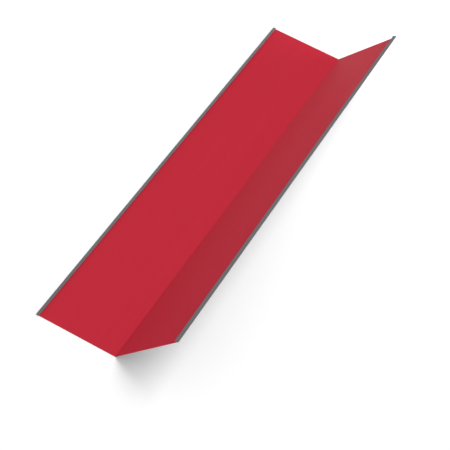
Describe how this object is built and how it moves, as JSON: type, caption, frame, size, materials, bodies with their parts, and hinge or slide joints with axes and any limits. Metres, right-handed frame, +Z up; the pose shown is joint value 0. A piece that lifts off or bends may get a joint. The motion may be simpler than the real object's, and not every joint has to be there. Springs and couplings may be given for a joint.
{
  "type": "valley flashing",
  "caption": "Long folded sheet-metal valley flashing: an open V channel with return lips along both long edges, laid under roof coverings to drain a valley.",
  "frame": {"origin": "middle of the bottom of the bounding box, on the plane of the flat wing's underside", "axes": "+Y along the crease, +X towards the raised wing, +Z up"},
  "size_m": [0.5464, 2, 0.2564],
  "materials": {
    "coated_steel": "smooth glossy red coil coating on the trough side, grey back coat on the underside"
  },
  "bodies": {
    "root": {"valley_flashing": "coated_steel"}
  },
  "joints": []
}
